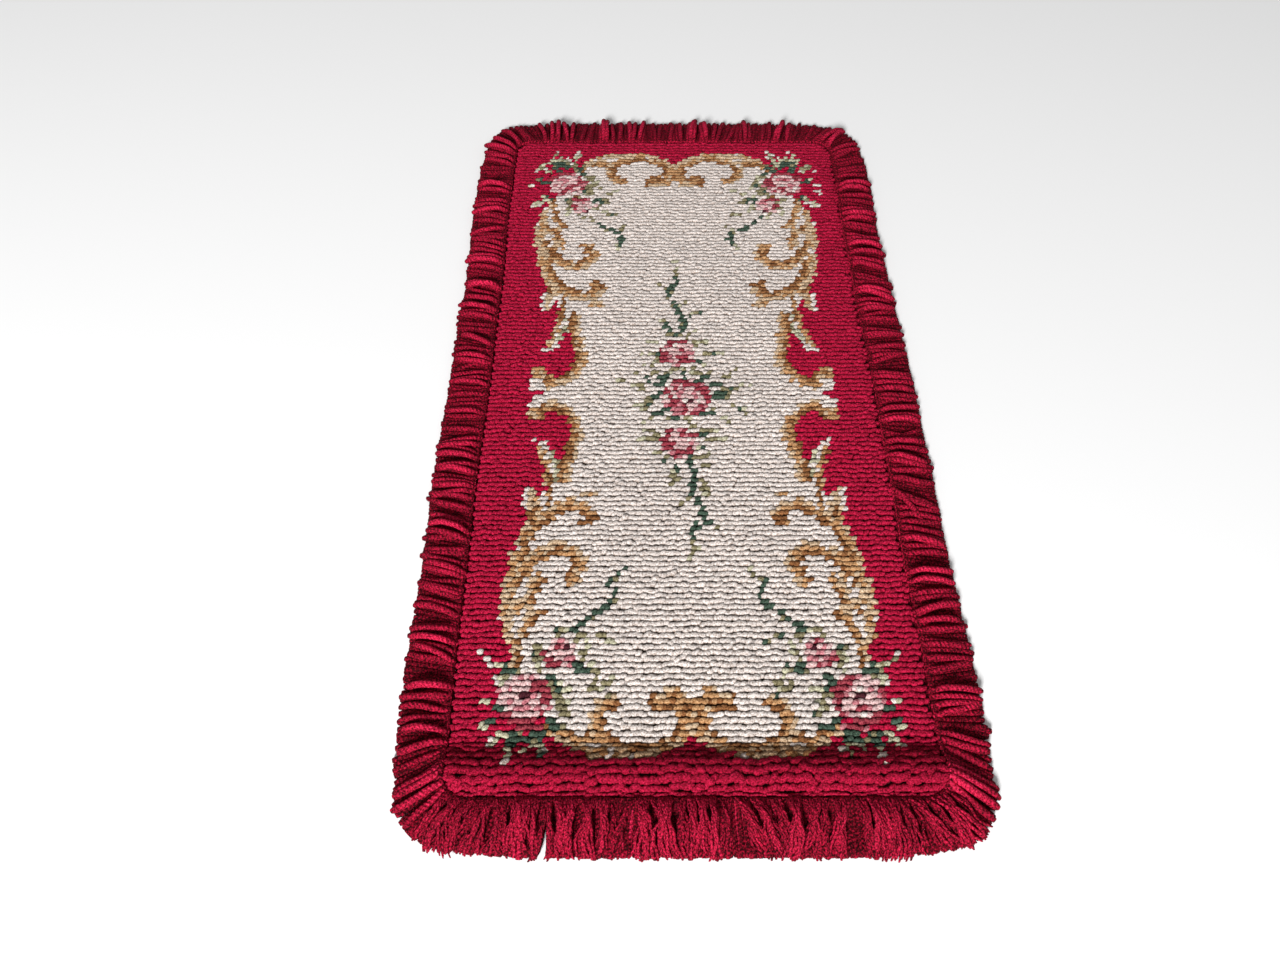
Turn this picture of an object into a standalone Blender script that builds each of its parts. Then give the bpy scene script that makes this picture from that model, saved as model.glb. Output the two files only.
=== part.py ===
"""Small loop-pile floor rug with a corded fringe sewn round all four sides.

The rug lies flat with its length along Y. The end nearest the viewer, at -Y, has lifted
into a low roll that is higher at the right. Metres, +Z up, floor at Z = 0.
"""
import math
import random

import bmesh
import bpy
from mathutils import Vector

# Woven body
BODY_WIDTH = 0.490
BODY_LENGTH = 1.036
CORNER_RADIUS = 0.024
PILE_TOP = 0.0095
ROW_COUNT = 152
ROW_GAP_DEPTH = 0.0017
RIM_TOP = 0.0064
RIM_INSET = 0.010

# Low roll across the near end: heights of the lifted underside and where it starts and crests
ROLL_HEIGHT_LEFT = 0.0075
ROLL_HEIGHT_RIGHT = 0.0125
ROLL_FOOT_FROM_END = 0.080
ROLL_CREST_FROM_END = 0.034
ROLL_END_SHARE = 0.30

# Fringe heading and strands
SEAM_GAP = 0.0003
HEADING_WIDTH = 0.0045
HEADING_HEIGHT = 0.0056
STRAND_WIDTH = 0.0074
STRAND_TIP_WIDTH = 0.0064
STRAND_HEIGHT = 0.0058
STRAND_TIP_HEIGHT = 0.0050
STRAND_REACH = 0.0495
REACH_SPREAD = 0.0016
STRAND_STEPS = (0.34, 0.70, 1.0)
FAN_LENGTH = 0.085
FAN_POWER = 1.25
LEAN_WAVELENGTH = 0.43
LEAN_PHASE = 0.8
RUFFLE_OFFSET_PER_SIDE = 0.11
RUFFLE_CREST_POWER = 1.2

# One row for each length of trim: name, outward heading of the side in degrees, strands,
# ruffle height, lean at the side's middle in degrees, swing of the lean in degrees
FRINGE_SIDES = (
    ("fringe_near", -90.0, 47, 0.0035, 0.0, 3.0),
    ("fringe_right", 0.0, 100, 0.0085, 4.0, 9.0),
    ("fringe_far", 90.0, 47, 0.0105, -7.0, 4.0),
    ("fringe_left", 180.0, 100, 0.0085, -2.0, 8.0),
)

CREAM = (0.78, 0.70, 0.62)
CRIMSON = (0.36, 0.004, 0.030)
WOOL_ROUGHNESS = 0.92

# Gentle bowing of the two long sides: amplitude, wavelength and phase of each wave
SIDE_WAVES = {
    -1: ((0.0011, 0.61, 0.4), (0.0006, 0.23, 2.0)),
    1: ((0.0012, 0.52, 1.9), (0.0006, 0.19, 0.3)),
}
# Ruffles along the trim: weight, wavelength and phase of each wave
RUFFLE_WAVES = ((0.60, 0.057, 0.0), (0.40, 0.083, 1.3))
RUFFLE_GAIN = 0.75
# Unevenness of the pile: height, wavelengths along and across the rug, phase
SURFACE_WAVES = ((0.0004, 0.31, 0.17, 0.2), (0.0003, 0.13, 0.24, 1.7))


def clear_scene():
    for item in list(bpy.data.objects):
        bpy.data.objects.remove(item, do_unlink=True)


def wool(name, colour):
    material = bpy.data.materials.new(name)
    material.use_nodes = True
    shader = material.node_tree.nodes["Principled BSDF"]
    shader.inputs["Base Color"].default_value = (*colour, 1.0)
    shader.inputs["Roughness"].default_value = WOOL_ROUGHNESS
    shader.inputs["Metallic"].default_value = 0.0
    return material


def side_bow(x, y):
    """Sideways shift of a point, blended from one long side to the other."""
    share = (x / (BODY_WIDTH / 2) + 1) / 2
    shift = {}
    for side, waves in SIDE_WAVES.items():
        shift[side] = sum(a * math.sin(2 * math.pi * y / length + phase) for a, length, phase in waves)
    return shift[-1] * (1 - share) + shift[1] * share


def roll_lift(x, y):
    """Height of the rug's underside above the floor."""
    from_end = y + BODY_LENGTH / 2
    if from_end >= ROLL_FOOT_FROM_END:
        return 0.0
    if from_end > ROLL_CREST_FROM_END:
        run = (from_end - ROLL_CREST_FROM_END) / (ROLL_FOOT_FROM_END - ROLL_CREST_FROM_END)
        profile = 0.5 + 0.5 * math.cos(math.pi * run)
    else:
        run = (ROLL_CREST_FROM_END - max(from_end, 0.0)) / ROLL_CREST_FROM_END
        profile = ROLL_END_SHARE + (1 - ROLL_END_SHARE) * (0.5 + 0.5 * math.cos(math.pi * run))
    share = min(max((x / (BODY_WIDTH / 2) + 1) / 2, 0.0), 1.0)
    return profile * (ROLL_HEIGHT_LEFT * (1 - share) + ROLL_HEIGHT_RIGHT * share)


def half_width(y):
    """Half the body's width at a row, drawn in round the corners."""
    into_corner = abs(y) - (BODY_LENGTH / 2 - CORNER_RADIUS)
    if into_corner <= 0:
        return BODY_WIDTH / 2
    drop = math.sqrt(max(CORNER_RADIUS ** 2 - into_corner ** 2, 0.0))
    return BODY_WIDTH / 2 - CORNER_RADIUS + drop


def add_object(name, vertices, faces, material):
    mesh = bpy.data.meshes.new(name)
    mesh.from_pydata(vertices, [], faces)
    mesh.materials.append(material)
    item = bpy.data.objects.new(name, mesh)
    bpy.context.scene.collection.objects.link(item)
    return item


def row_points(index):
    """Top and bottom points of the body at one step along the rows."""
    y = -BODY_LENGTH / 2 + BODY_LENGTH * index / (2 * ROW_COUNT)
    half = half_width(y)
    inset = half - RIM_INSET
    pile = PILE_TOP if index % 2 else PILE_TOP - ROW_GAP_DEPTH
    if index in (0, 2 * ROW_COUNT):
        pile = RIM_TOP
    top = []
    for x in (-half, -inset, -inset / 2, 0.0, inset / 2, inset, half):
        height = RIM_TOP
        if abs(x) < half:
            height = pile
            for size, along, across, phase in SURFACE_WAVES:
                height += size * math.sin(2 * math.pi * (y / along + x / across) + phase)
        top.append(Vector((x + side_bow(x, y), y, height + roll_lift(x, y))))
    bottom = []
    for x in (-half, 0.0, half):
        bottom.append(Vector((x + side_bow(x, y), y, roll_lift(x, y))))
    return top, bottom


def build_body():
    """One closed slab whose top is raised into rows of loops across the width."""
    vertices, faces = [], []
    tops, bottoms = [], []
    for index in range(2 * ROW_COUNT + 1):
        top, bottom = row_points(index)
        tops.append(range(len(vertices), len(vertices) + len(top)))
        vertices += top
        bottoms.append(range(len(vertices), len(vertices) + len(bottom)))
        vertices += bottom
    for index in range(2 * ROW_COUNT):
        top, next_top = tops[index], tops[index + 1]
        bottom, next_bottom = bottoms[index], bottoms[index + 1]
        for column in range(len(top) - 1):
            faces.append((top[column], top[column + 1], next_top[column + 1], next_top[column]))
        for column in range(len(bottom) - 1):
            faces.append((bottom[column + 1], bottom[column], next_bottom[column], next_bottom[column + 1]))
        faces.append((bottom[0], top[0], next_top[0], next_bottom[0]))
        faces.append((top[-1], bottom[-1], next_bottom[-1], next_top[-1]))
    near_rim = [*reversed(tops[0]), *bottoms[0]]
    far_rim = [*tops[-1], *reversed(bottoms[-1])]
    faces += [tuple(near_rim), tuple(far_rim)]
    return vertices, faces


class TrimSide:
    """Frame along one side: distance s runs round the rug, outward distance across the trim."""

    def __init__(self, heading):
        angle = math.radians(heading)
        self.out = Vector((math.cos(angle), math.sin(angle), 0.0))
        self.along = Vector((-self.out.y, self.out.x, 0.0))
        on_long_side = abs(self.out.x) > 0.5
        self.edge = (BODY_WIDTH if on_long_side else BODY_LENGTH) / 2
        self.straight = (BODY_LENGTH if on_long_side else BODY_WIDTH) / 2 - CORNER_RADIUS
        self.end = self.straight + CORNER_RADIUS * math.pi / 4

    def turn(self, s):
        """Turn of the seam's normal round the corner arc."""
        over = max(abs(s) - self.straight, 0.0) / CORNER_RADIUS
        return math.copysign(over, s)

    def place(self, s, distance):
        """Point on the floor plane at a distance outside the body's edge."""
        turn = self.turn(s)
        base = math.copysign(min(abs(s), self.straight), s)
        reach = CORNER_RADIUS + distance
        point = self.along * (base + reach * math.sin(turn))
        point += self.out * (self.edge - CORNER_RADIUS + reach * math.cos(turn))
        point.x += side_bow(point.x, point.y)
        return point

    def nearness_to_corner(self, s):
        return max(abs(s) - (self.end - FAN_LENGTH), 0.0) / FAN_LENGTH

    def fan(self, s):
        """Direction of a strand, turning smoothly to the diagonal at the corners."""
        return math.copysign(math.pi / 4 * self.nearness_to_corner(s) ** FAN_POWER, s)

    def direction(self, angle):
        return self.out * math.cos(angle) + self.along * math.sin(angle)


def ruffle(s):
    """Share from 0, lying in a dip, to 1, riding on a ruffle."""
    wave = sum(weight * math.sin(2 * math.pi * s / length + phase) for weight, length, phase in RUFFLE_WAVES)
    return min(max(0.5 + RUFFLE_GAIN * wave, 0.0), 1.0)


def heading_corner(place, vertices):
    """Add the bottom and top point of the heading at one place and return their numbers."""
    lift = roll_lift(place.x, place.y)
    vertices.append(Vector((place.x, place.y, lift)))
    vertices.append(Vector((place.x, place.y, lift + HEADING_HEIGHT)))
    return len(vertices) - 2, len(vertices) - 1


def build_fringe(heading, count, ruffle_height, lean, lean_swing, seed):
    """A narrow heading with its strands grown from the outer wall, as one closed body."""
    side = TrimSide(heading)
    shuffle = random.Random(seed)
    vertices, faces = [], []
    half_cut = SEAM_GAP / 2
    start, stop = -side.end + half_cut, side.end - half_cut
    pitch = (stop - start) / count
    snug = 1 / math.cos(pitch / CORNER_RADIUS / 2)

    def inner(s):
        slack = (CORNER_RADIUS + SEAM_GAP) * (snug - 1) if side.turn(s) else 0.0
        return heading_corner(side.place(s, SEAM_GAP + slack), vertices)

    def outer(s):
        return heading_corner(side.place(s, SEAM_GAP + HEADING_WIDTH), vertices)

    inners, outers = [inner(start)], [outer(start)]
    strands = []
    for index in range(count):
        s = start + pitch * (index + 0.5)
        inners.append(inner(s))
        left, right = outer(s - STRAND_WIDTH / 2), outer(s + STRAND_WIDTH / 2)
        outers += [left, right]
        strands.append((s, left, right))
    inners.append(inner(stop))
    outers.append(outer(stop))

    for level in (0, 1):
        for index in range(count + 1):
            near, far = inners[index][level], inners[index + 1][level]
            faces.append((near, far, outers[2 * index + 1][level], outers[2 * index][level]))
        for index in range(count):
            faces.append((inners[index + 1][level], outers[2 * index + 1][level], outers[2 * index + 2][level]))
    for index in range(count + 1):
        a, b = inners[index], inners[index + 1]
        faces.append((a[0], a[1], b[1], b[0]))
        a, b = outers[2 * index], outers[2 * index + 1]
        faces.append((a[0], b[0], b[1], a[1]))
    for a, b in ((inners[0], outers[0]), (outers[-1], inners[-1])):
        faces.append((a[0], b[0], b[1], a[1]))

    for s, left, right in strands:
        root = side.place(s, SEAM_GAP + HEADING_WIDTH)
        swing = lean + lean_swing * math.sin(2 * math.pi * s / LEAN_WAVELENGTH + LEAN_PHASE)
        angle = side.fan(s) + math.radians(swing) * (1 - side.nearness_to_corner(s))
        reach = STRAND_REACH + shuffle.uniform(-REACH_SPREAD, REACH_SPREAD)
        crest = ruffle_height * ruffle(s + RUFFLE_OFFSET_PER_SIDE * heading / 90)
        root_lift = roll_lift(root.x, root.y)
        out, across = side.direction(angle), side.direction(angle + math.pi / 2)
        ring = [left[0], left[1], right[1], right[0]]
        for step in STRAND_STEPS:
            width = STRAND_WIDTH + (STRAND_TIP_WIDTH - STRAND_WIDTH) * step
            height = STRAND_HEIGHT + (STRAND_TIP_HEIGHT - STRAND_HEIGHT) * step
            low = root_lift * (1 - step) ** 2
            if step < STRAND_STEPS[-1]:
                low += crest * math.sin(math.pi * step) ** RUFFLE_CREST_POWER
            centre = root + out * (reach * step)
            new_ring = []
            for edge, level in ((-1, 0), (-1, 1), (1, 1), (1, 0)):
                point = centre + across * (edge * width / 2)
                vertices.append(Vector((point.x, point.y, low + level * height)))
                new_ring.append(len(vertices) - 1)
            for corner in range(4):
                other = (corner + 1) % 4
                faces.append((ring[corner], ring[other], new_ring[other], new_ring[corner]))
            ring = new_ring
        faces.append(tuple(ring))
    return vertices, faces


def centre_on_origin(items):
    """Move every mesh by one shift so that the whole rug's box stands centred on the origin."""
    points = [vertex.co for item in items for vertex in item.data.vertices]
    low = Vector([min(point[axis] for point in points) for axis in range(3)])
    high = Vector([max(point[axis] for point in points) for axis in range(3)])
    shift = Vector((-(low.x + high.x) / 2, -(low.y + high.y) / 2, -low.z))
    for item in items:
        for vertex in item.data.vertices:
            vertex.co += shift


def turn_faces_out(item):
    shell = bmesh.new()
    shell.from_mesh(item.data)
    bmesh.ops.recalc_face_normals(shell, faces=shell.faces)
    shell.to_mesh(item.data)
    shell.free()


def main():
    clear_scene()
    field_wool = wool("field wool", CREAM)
    trim_wool = wool("fringe wool", CRIMSON)
    items = [add_object("rug_body", *build_body(), field_wool)]
    for seed, (name, heading, count, ruffle_height, lean, swing) in enumerate(FRINGE_SIDES, 11):
        vertices, faces = build_fringe(heading, count, ruffle_height, lean, swing, seed)
        items.append(add_object(name, vertices, faces, trim_wool))
    for item in items:
        turn_faces_out(item)
    centre_on_origin(items)


main()
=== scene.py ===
"""Looks of a small loop-pile floor rug with a corded fringe, laid on a pale studio floor."""
import math

import bpy
import numpy as np
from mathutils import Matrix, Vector


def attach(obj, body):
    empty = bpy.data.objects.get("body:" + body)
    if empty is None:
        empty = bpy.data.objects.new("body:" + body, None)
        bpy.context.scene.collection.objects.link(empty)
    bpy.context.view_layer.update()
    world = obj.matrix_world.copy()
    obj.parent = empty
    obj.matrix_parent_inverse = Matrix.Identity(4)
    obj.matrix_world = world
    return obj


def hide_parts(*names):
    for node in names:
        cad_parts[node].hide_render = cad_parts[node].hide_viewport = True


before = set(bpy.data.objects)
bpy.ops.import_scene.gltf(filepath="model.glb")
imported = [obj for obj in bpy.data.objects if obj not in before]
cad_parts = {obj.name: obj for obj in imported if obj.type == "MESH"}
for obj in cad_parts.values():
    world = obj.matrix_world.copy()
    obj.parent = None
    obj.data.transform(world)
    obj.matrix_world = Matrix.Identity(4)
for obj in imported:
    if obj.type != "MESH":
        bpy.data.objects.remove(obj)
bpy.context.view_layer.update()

scene = bpy.context.scene

# Camera: stands over the near end, a little left of the rug's middle, and looks down its length
# at 54.5 degrees below level with a 27 mm lens.
CAMERA_PLACE = (-0.052, -0.8056, 0.9414)
CAMERA_PITCH = 54.5
CAMERA_LENS = 27.0

camera = bpy.data.objects.new("camera", bpy.data.cameras.new("camera"))
camera.location = CAMERA_PLACE
camera.rotation_euler = (math.radians(90 - CAMERA_PITCH), 0, 0)
camera.data.lens = CAMERA_LENS
camera.data.sensor_width = 36
scene.collection.objects.link(camera)
scene.camera = camera

# Studio: a plain white floor, one large soft lamp low on the viewer's left that rakes the loops,
# and an even pale sky that fills the shade.
FLOOR_HALF = 6.0
KEY_PLACE = (-1.3, -5.0, 2.95)
KEY_SIZE = 1.5
KEY_POWER = 540
SKY_STRENGTH = 0.32

scene.view_settings.view_transform = "Standard"
floor_mesh = bpy.data.meshes.new("floor")
corners = ((-1, -1), (1, -1), (1, 1), (-1, 1))
floor_corners = [(x * FLOOR_HALF, y * FLOOR_HALF, 0) for x, y in corners]
floor_mesh.from_pydata(floor_corners, [], [(0, 1, 2, 3)])
floor = bpy.data.objects.new("floor", floor_mesh)
scene.collection.objects.link(floor)
floor_paint = bpy.data.materials.new("floor paint")
floor_paint.use_nodes = True
floor_shader = floor_paint.node_tree.nodes["Principled BSDF"]
floor_shader.inputs["Base Color"].default_value = (0.93, 0.93, 0.93, 1)
floor_shader.inputs["Roughness"].default_value = 0.9
floor_mesh.materials.append(floor_paint)

key = bpy.data.objects.new("key lamp", bpy.data.lights.new("key lamp", "AREA"))
key.location = KEY_PLACE
key.rotation_euler = (-Vector(KEY_PLACE)).to_track_quat("-Z", "Y").to_euler()
key.data.shape = "DISK"
key.data.size = KEY_SIZE
key.data.energy = KEY_POWER
scene.collection.objects.link(key)
sky = bpy.data.worlds.new("sky")
sky.use_nodes = True
sky.node_tree.nodes["Background"].inputs["Color"].default_value = (1, 1, 1, 1)
sky.node_tree.nodes["Background"].inputs["Strength"].default_value = SKY_STRENGTH
scene.world = sky

# Pattern: the rug is worked from a chart of 152 rows of 88 stitches, with one yarn colour to a
# stitch: a crimson border, a cream field edged with gold scrolls, and sprays of roses. The chart is
# filled here stroke by stroke, in millimetres from the middle, before the loops are made.
BODY_WIDTH = 0.490
BODY_LENGTH = 1.036
CORNER_RADIUS = 0.024
ROWS = 152
STITCHES = 88
ROW_PITCH = BODY_LENGTH / ROWS
STITCH_PITCH = BODY_WIDTH / STITCHES
WAIST = -6.0
NEAR_SHARE = 0.962
CRIMSON, CREAM, TAN, GOLD, BROWN, BOTTLE, OLIVE, SAGE, PALE_PINK, PINK, ROSE, WINE = range(12)

stitch_x = (np.arange(STITCHES) + 0.5) * STITCH_PITCH * 1000 - BODY_WIDTH * 500
row_y = (np.arange(ROWS) + 0.5) * ROW_PITCH * 1000 - BODY_LENGTH * 500
chart_x, chart_y = np.meshgrid(stitch_x, row_y)
chart = np.full(chart_x.shape, CRIMSON)
half_u = np.abs(chart_x)
half_v = np.where(chart_y > WAIST, chart_y - WAIST, (WAIST - chart_y) / NEAR_SHARE)


def from_line(u, v, points):
    """Distance of every stitch from a line of points in millimetres, and the side it lies on."""
    nearest = np.full(u.shape, 1e9)
    side = np.zeros(u.shape)
    for (au, av), (bu, bv) in zip(points, points[1:]):
        length = math.hypot(bu - au, bv - av)
        share = np.clip(((u - au) * (bu - au) + (v - av) * (bv - av)) / length ** 2, 0, 1)
        gap = np.hypot(u - au - share * (bu - au), v - av - share * (bv - av))
        cross = ((bu - au) * (v - av) - (bv - av) * (u - au)) / length
        closer = gap < nearest
        nearest = np.where(closer, gap, nearest)
        side = np.where(closer, cross, side)
    return nearest, side


def stroke(u, v, points, width, yarn):
    chart[from_line(u, v, points)[0] < width / 2] = yarn


BROWN_FROM = 0.20
TAN_FROM = -0.16


def scroll(points, width, dark_side):
    """Gold band, brown along its left side where dark_side is 1, or its right where it is -1."""
    nearest, side = from_line(half_u, half_v, points)
    band = nearest < width / 2
    across = side * dark_side / width
    chart[band] = GOLD
    chart[band & (across > BROWN_FROM)] = BROWN
    chart[band & (across < TAN_FROM)] = TAN


# Cream field: half-width at distances from the waist, and a round lobe at each end corner
FIELD_HALF_WIDTH = (
    (0, 178), (14, 188), (20, 150), (26, 142), (36, 136), (50, 132), (95, 133), (114, 143),
    (132, 156), (150, 160), (162, 166), (176, 178), (192, 181), (215, 188), (245, 197), (290, 204),
    (330, 204), (356, 195), (375, 188), (400, 174), (425, 160), (448, 150),
)
FIELD_END = 452
LOBE_CENTRE = (73, 450)
LOBE_RADII = (77, 49)
LOBE_BAND = 0.74
LOBE_BAND_FROM = 466
field_v, field_u = zip(*FIELD_HALF_WIDTH)
chart[(half_u < np.interp(half_v, field_v, field_u)) & (half_v < FIELD_END)] = CREAM
lobe = np.hypot((half_u - LOBE_CENTRE[0]) / LOBE_RADII[0],
                (half_v - LOBE_CENTRE[1]) / LOBE_RADII[1])
chart[lobe < 1] = CREAM

# Volute, two acanthus leaves and the tan edge of one quarter, which stand out into the crimson:
# points, width and yarn. All four quarters are alike, u runs out from the middle line and v from
# the waist.
QUARTER_STROKES = (
    ([(184, 12), (189, 24), (183, 34)], 17, CREAM),
    ([(174, 26), (181, 38), (189, 38), (190, 30)], 13, GOLD),
    ([(172, 30), (176, 38)], 5, BROWN),
    ([(184, 28), (182, 34)], 7, TAN),
    ([(151, 148), (156, 122), (166, 98), (172, 84)], 15, CREAM),
    ([(150, 140), (154, 118), (161, 98)], 7, SAGE),
    ([(158, 178), (160, 148), (164, 120), (170, 100), (175, 88)], 8, GOLD),
    ([(157, 172), (158, 150), (161, 128)], 5, BROWN),
    ([(170, 80), (182, 78)], 6, CREAM),
    ([(172, 190), (181, 168), (184, 156)], 16, TAN),
    ([(186, 178), (186, 156)], 8, CREAM),
    ([(178, 200), (178, 182)], 6, BROWN),
    ([(193, 354), (198, 320), (198, 285), (192, 256)], 13, TAN),
    ([(176, 262), (170, 300), (176, 330)], 8, TAN),
)
for points, width, yarn in QUARTER_STROKES:
    stroke(half_u, half_v, points, width, yarn)

# Gold scrollwork of one quarter, from the waist to the end of the field
scroll([(143, 138), (141, 118), (137, 96), (133, 74), (133, 52), (139, 37), (150, 25), (168, 17)],
       16, 1)
scroll([(191, 256), (187, 232), (180, 214), (170, 200), (158, 190), (146, 181), (134, 176),
        (120, 179), (110, 190)], 19, -1)
stroke(half_u, half_v, [(118, 204), (106, 199)], 9, BROWN)
stroke(half_u, half_v, [(120, 163), (104, 162)], 8, TAN)
scroll([(192, 284), (186, 268), (176, 256), (164, 245), (150, 238), (136, 240), (124, 250),
        (120, 264), (128, 280)], 18, -1)
scroll([(187, 319), (176, 307), (168, 294), (165, 280)], 13, -1)
scroll([(184, 384), (182, 362), (178, 346), (173, 332), (164, 322)], 11, -1)
chart[(lobe < 1) & (lobe > LOBE_BAND) & (half_v > LOBE_BAND_FROM)] = TAN
scroll([(148, 456), (134, 466), (118, 474), (104, 470)], 14, 1)
scroll([(82, 428), (93, 436), (99, 447), (98, 460), (90, 470), (79, 478), (65, 484), (50, 485),
        (35, 482), (22, 474), (12, 466), (6, 456), (5, 444)], 17, 1)
stroke(half_u, half_v, [(32, 430), (20, 427), (9, 433), (5, 446)], 17, GOLD)
stroke(half_u, half_v, [(34, 420), (18, 416), (6, 421)], 7, TAN)
stroke(half_u, half_v, [(20, 430), (28, 438), (38, 438), (44, 430), (40, 421)], 6.5, BROWN)

# Bouquets in the four corners, one list for the far pair and one for the near. Each leaf has a
# dark heart and a lighter blade: heart, blade, width, base and tip in millimetres from the middle.
FAR_LEAVES = (
    (BOTTLE, SAGE, 10, (178, 448), (194, 470)), (BOTTLE, SAGE, 9, (184, 456), (186, 482)),
    (SAGE, CREAM, 6, (186, 484), (182, 494)), (BOTTLE, SAGE, 9, (166, 456), (170, 474)),
    (OLIVE, SAGE, 9, (154, 450), (154, 478)), (SAGE, CREAM, 6, (154, 478), (156, 490)),
    (SAGE, CREAM, 5, (150, 480), (148, 494)), (SAGE, SAGE, 9, (196, 446), (206, 458)),
    (SAGE, CREAM, 6, (208, 452), (216, 446)), (BOTTLE, SAGE, 8, (196, 420), (210, 426)),
    (SAGE, PALE_PINK, 5, (216, 414), (222, 410)), (BOTTLE, SAGE, 9, (186, 376), (200, 388)),
    (SAGE, CREAM, 8, (194, 380), (204, 366)), (SAGE, CREAM, 6, (206, 372), (214, 362)),
    (BOTTLE, OLIVE, 9, (142, 440), (128, 432)), (OLIVE, SAGE, 9, (132, 432), (122, 416)),
    (OLIVE, OLIVE, 8, (138, 404), (126, 400)), (OLIVE, SAGE, 8, (134, 394), (120, 388)),
    (BOTTLE, OLIVE, 10, (116, 378), (98, 374)), (BOTTLE, SAGE, 8, (122, 372), (112, 362)),
    (OLIVE, SAGE, 7, (118, 358), (104, 352)), (OLIVE, SAGE, 7, (102, 390), (84, 402)),
    (OLIVE, SAGE, 8, (154, 368), (158, 346)), (OLIVE, SAGE, 7, (140, 342), (134, 334)),
    (OLIVE, OLIVE, 5, (96, 346), (74, 347)), (BROWN, OLIVE, 6, (150, 388), (142, 384)),
    (BOTTLE, SAGE, 9, (176, 462), (178, 478)), (BOTTLE, OLIVE, 9, (148, 448), (140, 462)),
    (SAGE, CREAM, 8, (160, 462), (164, 482)), (BOTTLE, OLIVE, 9, (146, 396), (134, 404)),
    (OLIVE, SAGE, 8, (128, 414), (116, 408)), (OLIVE, SAGE, 8, (162, 378), (158, 366)),
)
NEAR_LEAVES = (
    (BOTTLE, SAGE, 11, (184, -386), (206, -378)), (SAGE, CREAM, 9, (196, -394), (206, -396)),
    (SAGE, CREAM, 5, (214, -370), (222, -364)), (BOTTLE, SAGE, 10, (146, -390), (138, -400)),
    (BOTTLE, OLIVE, 11, (120, -382), (102, -386)), (OLIVE, SAGE, 7, (104, -380), (96, -390)),
    (OLIVE, SAGE, 8, (114, -372), (108, -354)), (OLIVE, SAGE, 8, (142, -342), (132, -334)),
    (OLIVE, SAGE, 7, (120, -348), (112, -340)), (OLIVE, OLIVE, 6, (98, -344), (82, -350)),
    (OLIVE, SAGE, 9, (162, -360), (158, -384)), (OLIVE, SAGE, 8, (134, -404), (122, -402)),
    (OLIVE, OLIVE, 9, (104, -402), (86, -410)), (BOTTLE, SAGE, 9, (196, -428), (212, -420)),
    (SAGE, CREAM, 5, (218, -416), (228, -416)), (OLIVE, OLIVE, 10, (136, -426), (124, -432)),
    (BOTTLE, OLIVE, 9, (144, -442), (134, -446)), (BOTTLE, SAGE, 13, (176, -456), (196, -452)),
    (BOTTLE, BOTTLE, 10, (156, -456), (172, -458)), (SAGE, CREAM, 7, (200, -462), (211, -467)),
    (BOTTLE, OLIVE, 9, (146, -400), (136, -412)), (OLIVE, SAGE, 8, (140, -414), (128, -420)),
    (BOTTLE, SAGE, 7, (206, -440), (212, -446)), (SAGE, CREAM, 8, (160, -464), (150, -474)),
    (BOTTLE, SAGE, 8, (182, -464), (188, -476)), (SAGE, CREAM, 5, (184, -478), (188, -486)),
    (SAGE, OLIVE, 7, (154, -466), (152, -480)), (SAGE, SAGE, 6, (164, -468), (172, -472)),
    (OLIVE, SAGE, 7, (92, -398), (82, -394)),
)
FAR_STEM = [(126, 338), (120, 330), (112, 321), (105, 314), (94, 311), (86, 305), (81, 299),
            (77, 291), (79, 283), (85, 275)]
NEAR_STEM = [(122, -336), (110, -326), (98, -317), (87, -308), (81, -299), (80, -290), (86, -285),
             (85, -277)]
HEART_SHARE = 0.45
BLADE_WIDTH = 0.85


def leaf(u, heart, blade, width, base, tip):
    middle = [a + (b - a) * HEART_SHARE for a, b in zip(base, tip)]
    stroke(u, chart_y, [middle, tip], width * BLADE_WIDTH, blade)
    stroke(u, chart_y, [base, middle], width, heart)


side_x = np.abs(chart_x)
for leaf_row in (*FAR_LEAVES, *NEAR_LEAVES):
    leaf(side_x, *leaf_row)
stroke(side_x, chart_y, FAR_STEM, 7.5, BOTTLE)
stroke(side_x, chart_y, [(81, 308), (75, 320)], 5.5, OLIVE)
stroke(side_x, chart_y, [(84, 275), (88, 266)], 5.5, SAGE)
stroke(side_x, chart_y, NEAR_STEM, 7.5, BOTTLE)
stroke(side_x, chart_y, [(80, -274), (71, -264)], 5.5, OLIVE)

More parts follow.
